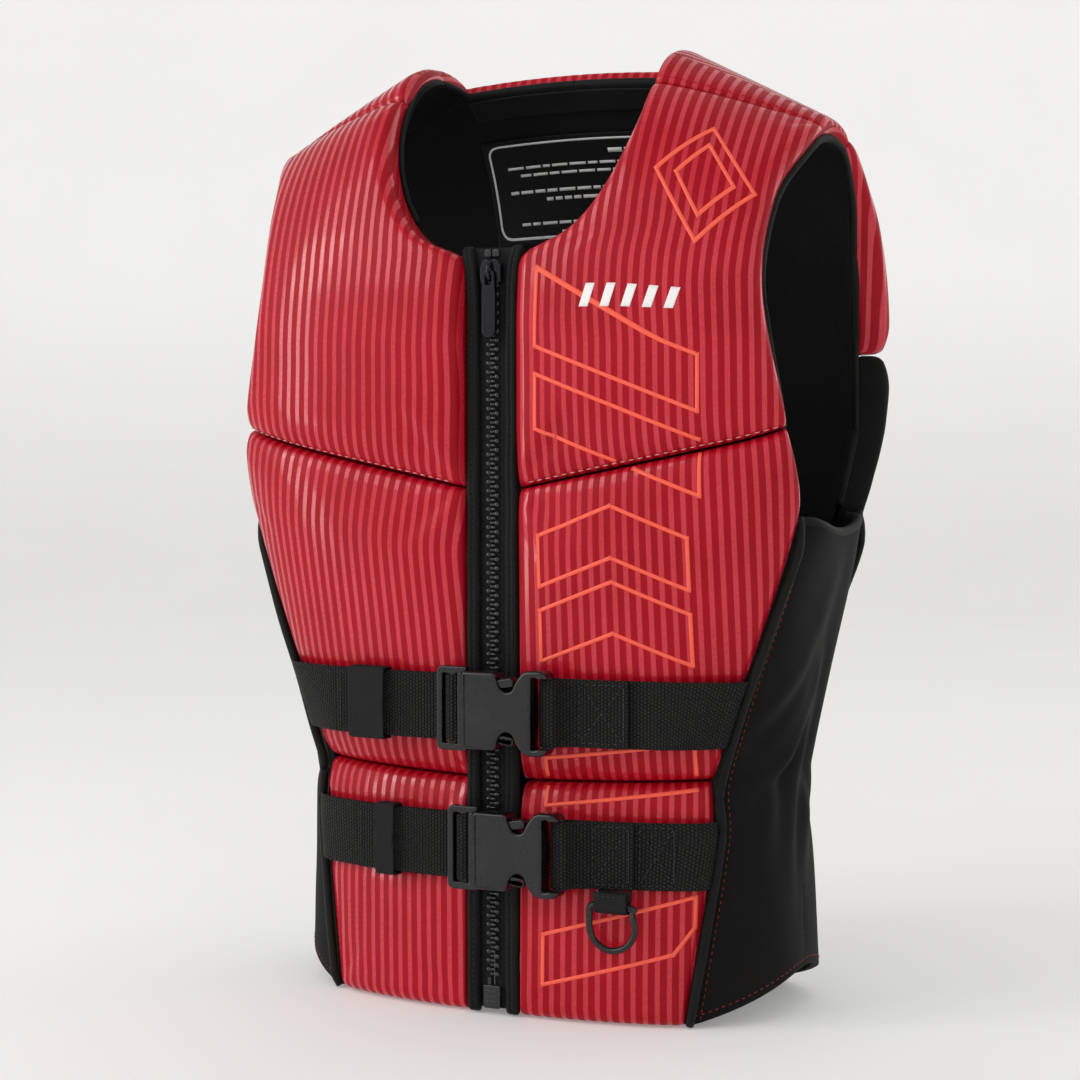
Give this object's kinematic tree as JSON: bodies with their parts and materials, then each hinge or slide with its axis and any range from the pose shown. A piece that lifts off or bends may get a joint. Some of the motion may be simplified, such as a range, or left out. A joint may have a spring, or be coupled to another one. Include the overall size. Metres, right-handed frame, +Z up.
{
  "type": "life jacket",
  "caption": "Sleeveless zip-front flotation vest of padded striped neoprene with black side panels, belts with side-release buckles and a D-ring.",
  "frame": {"origin": "middle of the vest's box at the height of the hem that it stands on", "axes": "+Z up, the front faces -Y, +X towards the wearer's left"},
  "size_m": [0.3938, 0.2246, 0.5775],
  "materials": {
    "striped_neoprene": "printed foam neoprene, red with lighter vertical stripes, satin",
    "black_neoprene": "black stretch neoprene, matt",
    "lining_cloth": "black knitted lining, matt",
    "foam": "closed-cell buoyancy foam, hidden inside the covers",
    "webbing": "black 40 mm woven webbing",
    "zip_cloth": "black woven zip tape",
    "buckle_plastic": "black moulded acetal, satin",
    "hardware_plastic": "black moulded plastic, half gloss",
    "label_cloth": "black woven patch with a pale printed border"
  },
  "bodies": {
    "vest": {"back_lining": "lining_cloth", "back_lower_cover": "black_neoprene", "back_lower_foam": "foam", "back_middle_cover": "black_neoprene", "back_middle_foam": "foam", "back_upper_cover": "striped_neoprene", "back_upper_foam": "foam", "collar_facing": "lining_cloth", "d_ring_web_loop": "webbing", "inner_label": "label_cloth", "left_chest_cover": "striped_neoprene", "left_chest_foam": "foam", "left_front_lining": "lining_cloth", "left_middle_cover": "striped_neoprene", "left_middle_foam": "foam", "left_side_panel": "black_neoprene", "left_top_stop": "hardware_plastic", "left_waist_cover": "striped_neoprene", "left_waist_foam": "foam", "left_yoke_cover": "striped_neoprene", "left_yoke_foam": "foam", "left_zip_chain": "hardware_plastic", "left_zip_facing": "black_neoprene", "left_zip_tape": "zip_cloth", "lower_buckle_female": "buckle_plastic", "lower_keeper": "webbing", "lower_left_web": "webbing", "lower_right_web": "webbing", "right_chest_cover": "striped_neoprene", "right_chest_foam": "foam", "right_front_lining": "lining_cloth", "right_middle_cover": "striped_neoprene", "right_middle_foam": "foam", "right_side_panel": "black_neoprene", "right_top_stop": "hardware_plastic", "right_waist_cover": "striped_neoprene", "right_waist_foam": "foam", "right_yoke_cover": "striped_neoprene", "right_yoke_foam": "foam", "right_zip_chain": "hardware_plastic", "right_zip_facing": "black_neoprene", "right_zip_tape": "zip_cloth", "upper_buckle_female": "buckle_plastic", "upper_keeper": "webbing", "upper_left_web": "webbing", "upper_right_web": "webbing", "zip_insertion_pin": "hardware_plastic", "zip_retainer_box": "hardware_plastic"},
    "zip_slider": {"zip_slider": "hardware_plastic"},
    "zip_pull": {"zip_pull": "hardware_plastic"},
    "d_ring": {"d_ring": "hardware_plastic"},
    "upper_male": {"upper_buckle_male": "buckle_plastic", "upper_tail_web": "webbing"},
    "upper_prong_top": {"upper_prong_top": "buckle_plastic"},
    "upper_prong_bottom": {"upper_prong_bottom": "buckle_plastic"},
    "lower_male": {"lower_buckle_male": "buckle_plastic", "lower_tail_web": "webbing"},
    "lower_prong_top": {"lower_prong_top": "buckle_plastic"},
    "lower_prong_bottom": {"lower_prong_bottom": "buckle_plastic"}
  },
  "joints": [
    {"name": "zip_slide", "type": "slide", "parent": "vest", "child": "zip_slider", "axis": [0, 0, -1], "range_m": [0, 0.4]},
    {"name": "zip_pull_lift", "type": "hinge", "parent": "zip_slider", "child": "zip_pull", "pos_m": [0, -0.0938, 0.442], "axis": [-1, 0, 0], "range_deg": [0, 140]},
    {"name": "d_ring_swing", "type": "hinge", "parent": "vest", "child": "d_ring", "pos_m": [0.08, -0.09383, 0.073], "axis": [-1, 0, 0], "range_deg": [0, 110]},
    {"name": "upper_buckle_slide", "type": "slide", "parent": "vest", "child": "upper_male", "axis": [-1, 0, 0], "range_m": [0, 0.036]},
    {"name": "upper_prong_top_squeeze", "type": "hinge", "parent": "upper_male", "child": "upper_prong_top", "pos_m": [-0.007, -0.106, 0.1996], "axis": [0, 1, 0], "range_deg": [0, 10.5]},
    {"name": "upper_prong_bottom_squeeze", "type": "hinge", "parent": "upper_male", "child": "upper_prong_bottom", "pos_m": [-0.007, -0.106, 0.1704], "axis": [0, -1, 0], "range_deg": [0, 10.5]},
    {"name": "lower_buckle_slide", "type": "slide", "parent": "vest", "child": "lower_male", "axis": [-1, 0, 0], "range_m": [0, 0.036]},
    {"name": "lower_prong_top_squeeze", "type": "hinge", "parent": "lower_male", "child": "lower_prong_top", "pos_m": [-0.001, -0.106, 0.1166], "axis": [0, 1, 0], "range_deg": [0, 10.5]},
    {"name": "lower_prong_bottom_squeeze", "type": "hinge", "parent": "lower_male", "child": "lower_prong_bottom", "pos_m": [-0.001, -0.106, 0.0874], "axis": [0, -1, 0], "range_deg": [0, 10.5]}
  ],
  "couplings": [
    {"joint": "upper_prong_top_squeeze", "follows": "upper_buckle_slide", "rad_per_m": 5},
    {"joint": "upper_prong_bottom_squeeze", "follows": "upper_buckle_slide", "rad_per_m": 5},
    {"joint": "lower_prong_top_squeeze", "follows": "lower_buckle_slide", "rad_per_m": 5},
    {"joint": "lower_prong_bottom_squeeze", "follows": "lower_buckle_slide", "rad_per_m": 5}
  ]
}
